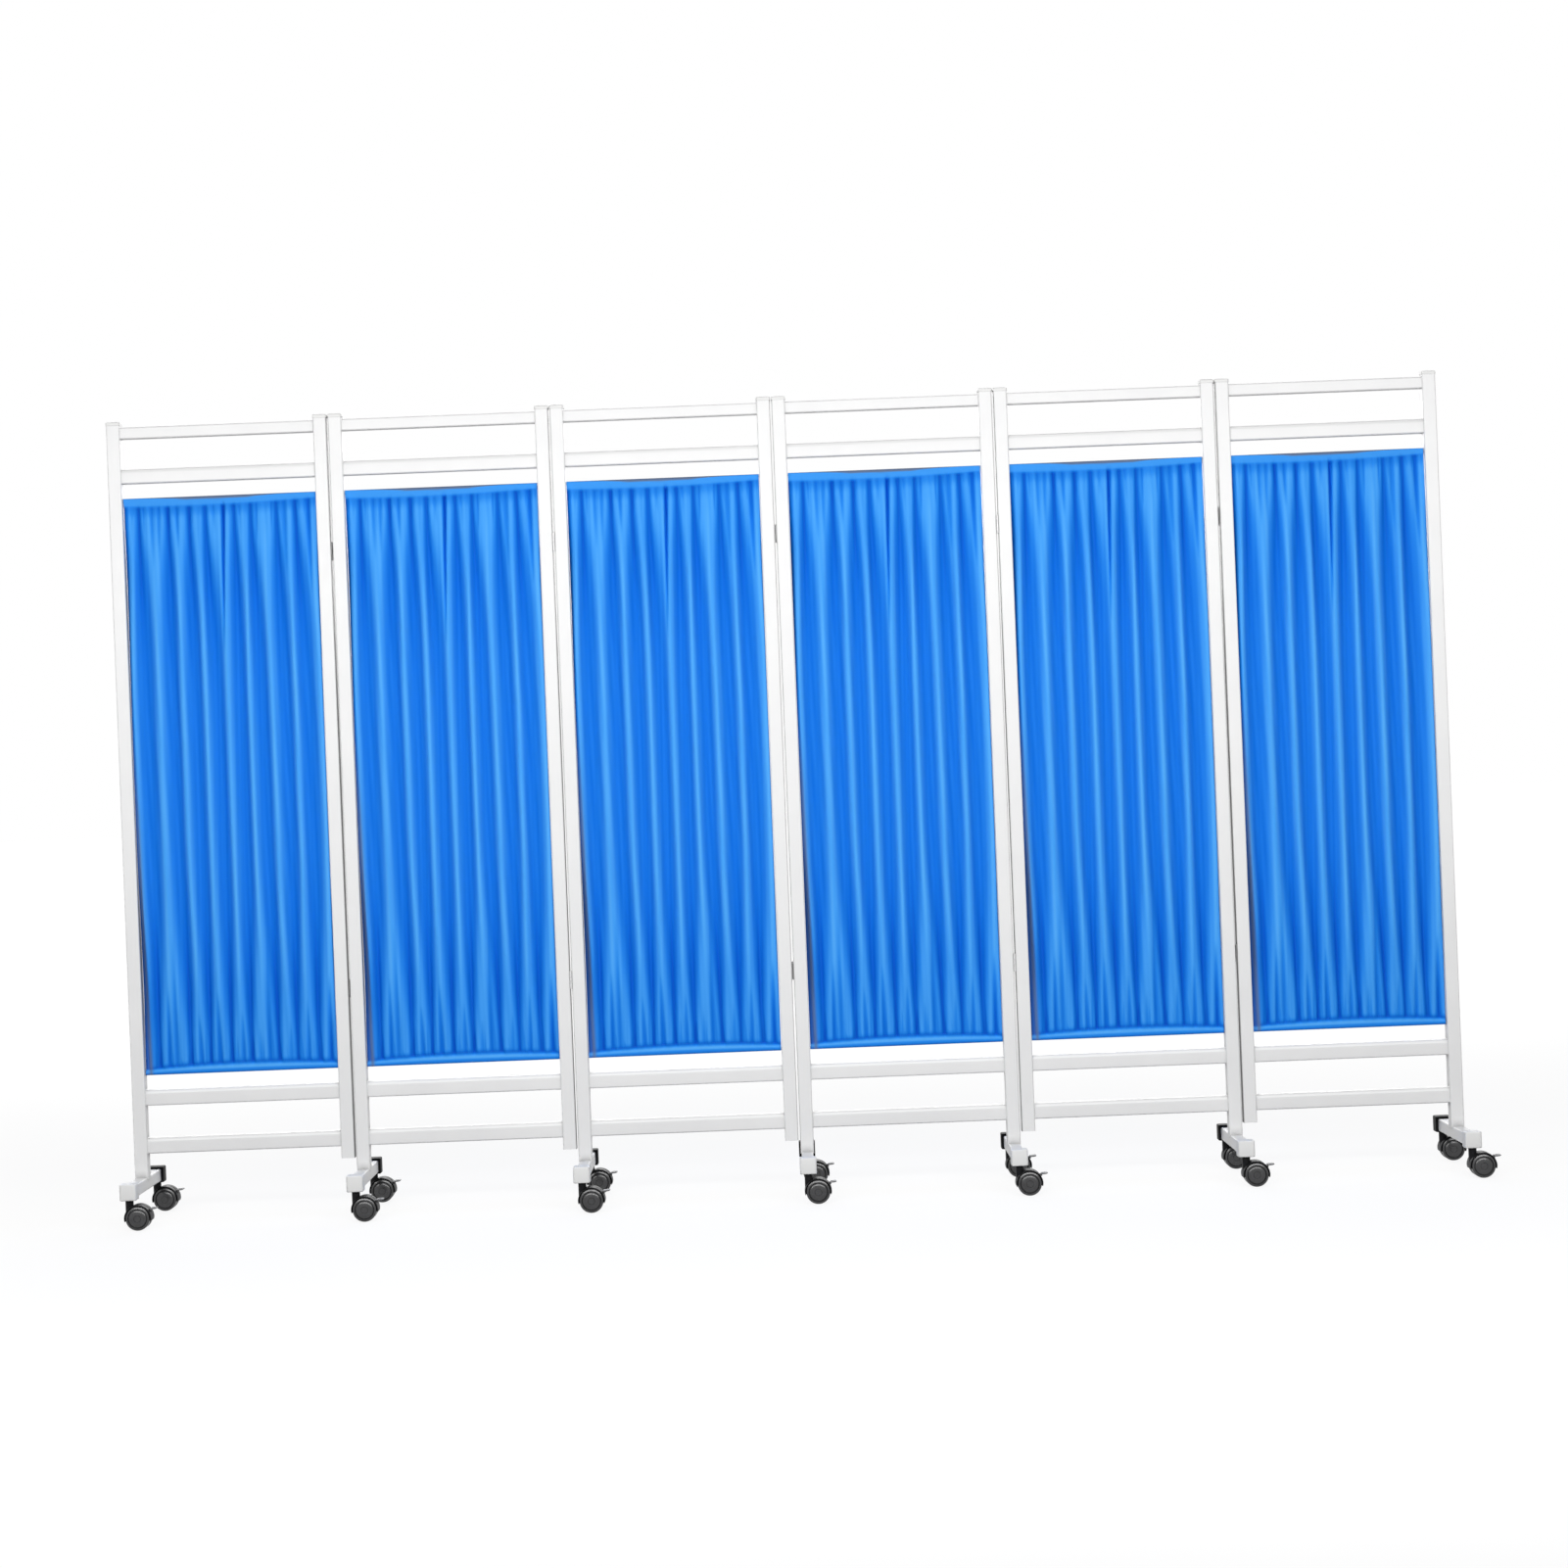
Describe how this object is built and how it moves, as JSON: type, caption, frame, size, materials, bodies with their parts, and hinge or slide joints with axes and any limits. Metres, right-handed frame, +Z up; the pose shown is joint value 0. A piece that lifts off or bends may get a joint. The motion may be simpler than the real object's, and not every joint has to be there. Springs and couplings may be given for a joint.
{
  "type": "ward privacy screen",
  "caption": "Folding ward privacy screen: white tube frames hinged side by side, gathered blue curtains, cross feet on braked twin-wheel casters.",
  "frame": {"origin": "on the floor, in the middle of the whole object seen from above", "axes": "+X along the opened screen to its right as seen from the front, +Y from its front to its back, +Z up"},
  "size_m": [3.0456, 0.3446, 1.8],
  "materials": {
    "frame_paint": "satin white powder coat",
    "rod_steel": "plain steel rod",
    "curtain_cloth": "plain woven polyester with a soft sheen",
    "caster_plastic": "moulded dark nylon",
    "wheel_plastic": "glossy moulded wheel faces",
    "pedal_plastic": "moulded mid grey nylon"
  },
  "bodies": {
    "panel_1": {"panel_frame_1": "frame_paint", "curtain_1": "curtain_cloth", "upper_curtain_rod_1": "rod_steel"},
    "panel_2": {"panel_frame_2": "frame_paint", "curtain_2": "curtain_cloth", "upper_curtain_rod_2": "rod_steel"},
    "panel_3": {"panel_frame_3": "frame_paint", "curtain_3": "curtain_cloth", "upper_curtain_rod_3": "rod_steel"},
    "panel_4": {"panel_frame_4": "frame_paint", "curtain_4": "curtain_cloth", "upper_curtain_rod_4": "rod_steel"},
    "panel_5": {"panel_frame_5": "frame_paint", "curtain_5": "curtain_cloth", "upper_curtain_rod_5": "rod_steel"},
    "panel_6": {"panel_frame_6": "frame_paint", "curtain_6": "curtain_cloth", "upper_curtain_rod_6": "rod_steel"},
    "caster_1_front": {"caster_hood_1_front": "caster_plastic"},
    "wheels_1_front": {"caster_wheels_1_front": "wheel_plastic"},
    "pedal_1_front": {"brake_pedal_1_front": "pedal_plastic"},
    "caster_1_rear": {"caster_hood_1_rear": "caster_plastic"},
    "wheels_1_rear": {"caster_wheels_1_rear": "wheel_plastic"},
    "pedal_1_rear": {"brake_pedal_1_rear": "pedal_plastic"},
    "caster_2_front": {"caster_hood_2_front": "caster_plastic"},
    "wheels_2_front": {"caster_wheels_2_front": "wheel_plastic"},
    "pedal_2_front": {"brake_pedal_2_front": "pedal_plastic"},
    "caster_2_rear": {"caster_hood_2_rear": "caster_plastic"},
    "wheels_2_rear": {"caster_wheels_2_rear": "wheel_plastic"},
    "pedal_2_rear": {"brake_pedal_2_rear": "pedal_plastic"},
    "caster_3_front": {"caster_hood_3_front": "caster_plastic"},
    "wheels_3_front": {"caster_wheels_3_front": "wheel_plastic"},
    "pedal_3_front": {"brake_pedal_3_front": "pedal_plastic"},
    "caster_3_rear": {"caster_hood_3_rear": "caster_plastic"},
    "wheels_3_rear": {"caster_wheels_3_rear": "wheel_plastic"},
    "pedal_3_rear": {"brake_pedal_3_rear": "pedal_plastic"},
    "caster_4_front": {"caster_hood_4_front": "caster_plastic"},
    "wheels_4_front": {"caster_wheels_4_front": "wheel_plastic"},
    "pedal_4_front": {"brake_pedal_4_front": "pedal_plastic"},
    "caster_4_rear": {"caster_hood_4_rear": "caster_plastic"},
    "wheels_4_rear": {"caster_wheels_4_rear": "wheel_plastic"},
    "pedal_4_rear": {"brake_pedal_4_rear": "pedal_plastic"},
    "caster_5_front": {"caster_hood_5_front": "caster_plastic"},
    "wheels_5_front": {"caster_wheels_5_front": "wheel_plastic"},
    "pedal_5_front": {"brake_pedal_5_front": "pedal_plastic"},
    "caster_5_rear": {"caster_hood_5_rear": "caster_plastic"},
    "wheels_5_rear": {"caster_wheels_5_rear": "wheel_plastic"},
    "pedal_5_rear": {"brake_pedal_5_rear": "pedal_plastic"},
    "caster_6_front": {"caster_hood_6_front": "caster_plastic"},
    "wheels_6_front": {"caster_wheels_6_front": "wheel_plastic"},
    "pedal_6_front": {"brake_pedal_6_front": "pedal_plastic"},
    "caster_6_rear": {"caster_hood_6_rear": "caster_plastic"},
    "wheels_6_rear": {"caster_wheels_6_rear": "wheel_plastic"},
    "pedal_6_rear": {"brake_pedal_6_rear": "pedal_plastic"},
    "caster_7_front": {"caster_hood_7_front": "caster_plastic"},
    "wheels_7_front": {"caster_wheels_7_front": "wheel_plastic"},
    "pedal_7_front": {"brake_pedal_7_front": "pedal_plastic"},
    "caster_7_rear": {"caster_hood_7_rear": "caster_plastic"},
    "wheels_7_rear": {"caster_wheels_7_rear": "wheel_plastic"},
    "pedal_7_rear": {"brake_pedal_7_rear": "pedal_plastic"}
  },
  "joints": [
    {"name": "panel_hinge_3_4", "type": "hinge", "parent": "panel_4", "child": "panel_3", "pos_m": [-0.02125, 0.014, 0.998], "axis": [0, 0, -1], "range_deg": [0, 120]},
    {"name": "panel_hinge_2_3", "type": "hinge", "parent": "panel_3", "child": "panel_2", "pos_m": [-0.52125, -0.014, 0.998], "axis": [0, 0, 1], "range_deg": [0, 120]},
    {"name": "panel_hinge_1_2", "type": "hinge", "parent": "panel_2", "child": "panel_1", "pos_m": [-1.02125, 0.014, 0.998], "axis": [0, 0, -1], "range_deg": [0, 120]},
    {"name": "panel_hinge_4_5", "type": "hinge", "parent": "panel_4", "child": "panel_5", "pos_m": [0.47875, -0.014, 0.998], "axis": [0, 0, -1], "range_deg": [0, 120]},
    {"name": "panel_hinge_5_6", "type": "hinge", "parent": "panel_5", "child": "panel_6", "pos_m": [0.97875, 0.014, 0.998], "axis": [0, 0, 1], "range_deg": [0, 120]},
    {"name": "caster_swivel_1_front", "type": "hinge", "parent": "panel_1", "child": "caster_1_front", "pos_m": [-1.50425, -0.15, 0.058], "axis": [0, 0, 1], "continuous": true},
    {"name": "wheel_spin_1_front", "type": "hinge", "parent": "caster_1_front", "child": "wheels_1_front", "pos_m": [-1.48425, -0.15, 0.0265], "axis": [0, 1, 0], "continuous": true},
    {"name": "brake_pedal_press_1_front", "type": "hinge", "parent": "caster_1_front", "child": "pedal_1_front", "pos_m": [-1.47025, -0.15, 0.0435], "axis": [0, 1, 0], "range_deg": [0, 12]},
    {"name": "caster_swivel_1_rear", "type": "hinge", "parent": "panel_1", "child": "caster_1_rear", "pos_m": [-1.50425, 0.15, 0.058], "axis": [0, 0, 1], "continuous": true},
    {"name": "wheel_spin_1_rear", "type": "hinge", "parent": "caster_1_rear", "child": "wheels_1_rear", "pos_m": [-1.48425, 0.15, 0.0265], "axis": [0, 1, 0], "continuous": true},
    {"name": "brake_pedal_press_1_rear", "type": "hinge", "parent": "caster_1_rear", "child": "pedal_1_rear", "pos_m": [-1.47025, 0.15, 0.0435], "axis": [0, 1, 0], "range_deg": [0, 12]},
    {"name": "caster_swivel_2_front", "type": "hinge", "parent": "panel_2", "child": "caster_2_front", "pos_m": [-1.00425, -0.15, 0.058], "axis": [0, 0, 1], "continuous": true},
    {"name": "wheel_spin_2_front", "type": "hinge", "parent": "caster_2_front", "child": "wheels_2_front", "pos_m": [-0.98425, -0.15, 0.0265], "axis": [0, 1, 0], "continuous": true},
    {"name": "brake_pedal_press_2_front", "type": "hinge", "parent": "caster_2_front", "child": "pedal_2_front", "pos_m": [-0.97025, -0.15, 0.0435], "axis": [0, 1, 0], "range_deg": [0, 12]},
    {"name": "caster_swivel_2_rear", "type": "hinge", "parent": "panel_2", "child": "caster_2_rear", "pos_m": [-1.00425, 0.15, 0.058], "axis": [0, 0, 1], "continuous": true},
    {"name": "wheel_spin_2_rear", "type": "hinge", "parent": "caster_2_rear", "child": "wheels_2_rear", "pos_m": [-0.98425, 0.15, 0.0265], "axis": [0, 1, 0], "continuous": true},
    {"name": "brake_pedal_press_2_rear", "type": "hinge", "parent": "caster_2_rear", "child": "pedal_2_rear", "pos_m": [-0.97025, 0.15, 0.0435], "axis": [0, 1, 0], "range_deg": [0, 12]},
    {"name": "caster_swivel_3_front", "type": "hinge", "parent": "panel_3", "child": "caster_3_front", "pos_m": [-0.50425, -0.15, 0.058], "axis": [0, 0, 1], "continuous": true},
    {"name": "wheel_spin_3_front", "type": "hinge", "parent": "caster_3_front", "child": "wheels_3_front", "pos_m": [-0.48425, -0.15, 0.0265], "axis": [0, 1, 0], "continuous": true},
    {"name": "brake_pedal_press_3_front", "type": "hinge", "parent": "caster_3_front", "child": "pedal_3_front", "pos_m": [-0.47025, -0.15, 0.0435], "axis": [0, 1, 0], "range_deg": [0, 12]},
    {"name": "caster_swivel_3_rear", "type": "hinge", "parent": "panel_3", "child": "caster_3_rear", "pos_m": [-0.50425, 0.15, 0.058], "axis": [0, 0, 1], "continuous": true},
    {"name": "wheel_spin_3_rear", "type": "hinge", "parent": "caster_3_rear", "child": "wheels_3_rear", "pos_m": [-0.48425, 0.15, 0.0265], "axis": [0, 1, 0], "continuous": true},
    {"name": "brake_pedal_press_3_rear", "type": "hinge", "parent": "caster_3_rear", "child": "pedal_3_rear", "pos_m": [-0.47025, 0.15, 0.0435], "axis": [0, 1, 0], "range_deg": [0, 12]},
    {"name": "caster_swivel_4_front", "type": "hinge", "parent": "panel_4", "child": "caster_4_front", "pos_m": [-0.00425, -0.15, 0.058], "axis": [0, 0, 1], "continuous": true},
    {"name": "wheel_spin_4_front", "type": "hinge", "parent": "caster_4_front", "child": "wheels_4_front", "pos_m": [0.01575, -0.15, 0.0265], "axis": [0, 1, 0], "continuous": true},
    {"name": "brake_pedal_press_4_front", "type": "hinge", "parent": "caster_4_front", "child": "pedal_4_front", "pos_m": [0.02975, -0.15, 0.0435], "axis": [0, 1, 0], "range_deg": [0, 12]},
    {"name": "caster_swivel_4_rear", "type": "hinge", "parent": "panel_4", "child": "caster_4_rear", "pos_m": [-0.00425, 0.15, 0.058], "axis": [0, 0, 1], "continuous": true},
    {"name": "wheel_spin_4_rear", "type": "hinge", "parent": "caster_4_rear", "child": "wheels_4_rear", "pos_m": [0.01575, 0.15, 0.0265], "axis": [0, 1, 0], "continuous": true},
    {"name": "brake_pedal_press_4_rear", "type": "hinge", "parent": "caster_4_rear", "child": "pedal_4_rear", "pos_m": [0.02975, 0.15, 0.0435], "axis": [0, 1, 0], "range_deg": [0, 12]},
    {"name": "caster_swivel_5_front", "type": "hinge", "parent": "panel_4", "child": "caster_5_front", "pos_m": [0.46175, -0.15, 0.058], "axis": [0, 0, 1], "continuous": true},
    {"name": "wheel_spin_5_front", "type": "hinge", "parent": "caster_5_front", "child": "wheels_5_front", "pos_m": [0.48175, -0.15, 0.0265], "axis": [0, 1, 0], "continuous": true},
    {"name": "brake_pedal_press_5_front", "type": "hinge", "parent": "caster_5_front", "child": "pedal_5_front", "pos_m": [0.49575, -0.15, 0.0435], "axis": [0, 1, 0], "range_deg": [0, 12]},
    {"name": "caster_swivel_5_rear", "type": "hinge", "parent": "panel_4", "child": "caster_5_rear", "pos_m": [0.46175, 0.15, 0.058], "axis": [0, 0, 1], "continuous": true},
    {"name": "wheel_spin_5_rear", "type": "hinge", "parent": "caster_5_rear", "child": "wheels_5_rear", "pos_m": [0.48175, 0.15, 0.0265], "axis": [0, 1, 0], "continuous": true},
    {"name": "brake_pedal_press_5_rear", "type": "hinge", "parent": "caster_5_rear", "child": "pedal_5_rear", "pos_m": [0.49575, 0.15, 0.0435], "axis": [0, 1, 0], "range_deg": [0, 12]},
    {"name": "caster_swivel_6_front", "type": "hinge", "parent": "panel_5", "child": "caster_6_front", "pos_m": [0.96175, -0.15, 0.058], "axis": [0, 0, 1], "continuous": true},
    {"name": "wheel_spin_6_front", "type": "hinge", "parent": "caster_6_front", "child": "wheels_6_front", "pos_m": [0.98175, -0.15, 0.0265], "axis": [0, 1, 0], "continuous": true},
    {"name": "brake_pedal_press_6_front", "type": "hinge", "parent": "caster_6_front", "child": "pedal_6_front", "pos_m": [0.99575, -0.15, 0.0435], "axis": [0, 1, 0], "range_deg": [0, 12]},
    {"name": "caster_swivel_6_rear", "type": "hinge", "parent": "panel_5", "child": "caster_6_rear", "pos_m": [0.96175, 0.15, 0.058], "axis": [0, 0, 1], "continuous": true},
    {"name": "wheel_spin_6_rear", "type": "hinge", "parent": "caster_6_rear", "child": "wheels_6_rear", "pos_m": [0.98175, 0.15, 0.0265], "axis": [0, 1, 0], "continuous": true},
    {"name": "brake_pedal_press_6_rear", "type": "hinge", "parent": "caster_6_rear", "child": "pedal_6_rear", "pos_m": [0.99575, 0.15, 0.0435], "axis": [0, 1, 0], "range_deg": [0, 12]},
    {"name": "caster_swivel_7_front", "type": "hinge", "parent": "panel_6", "child": "caster_7_front", "pos_m": [1.46175, -0.15, 0.058], "axis": [0, 0, 1], "continuous": true},
    {"name": "wheel_spin_7_front", "type": "hinge", "parent": "caster_7_front", "child": "wheels_7_front", "pos_m": [1.48175, -0.15, 0.0265], "axis": [0, 1, 0], "continuous": true},
    {"name": "brake_pedal_press_7_front", "type": "hinge", "parent": "caster_7_front", "child": "pedal_7_front", "pos_m": [1.49575, -0.15, 0.0435], "axis": [0, 1, 0], "range_deg": [0, 12]},
    {"name": "caster_swivel_7_rear", "type": "hinge", "parent": "panel_6", "child": "caster_7_rear", "pos_m": [1.46175, 0.15, 0.058], "axis": [0, 0, 1], "continuous": true},
    {"name": "wheel_spin_7_rear", "type": "hinge", "parent": "caster_7_rear", "child": "wheels_7_rear", "pos_m": [1.48175, 0.15, 0.0265], "axis": [0, 1, 0], "continuous": true},
    {"name": "brake_pedal_press_7_rear", "type": "hinge", "parent": "caster_7_rear", "child": "pedal_7_rear", "pos_m": [1.49575, 0.15, 0.0435], "axis": [0, 1, 0], "range_deg": [0, 12]}
  ]
}
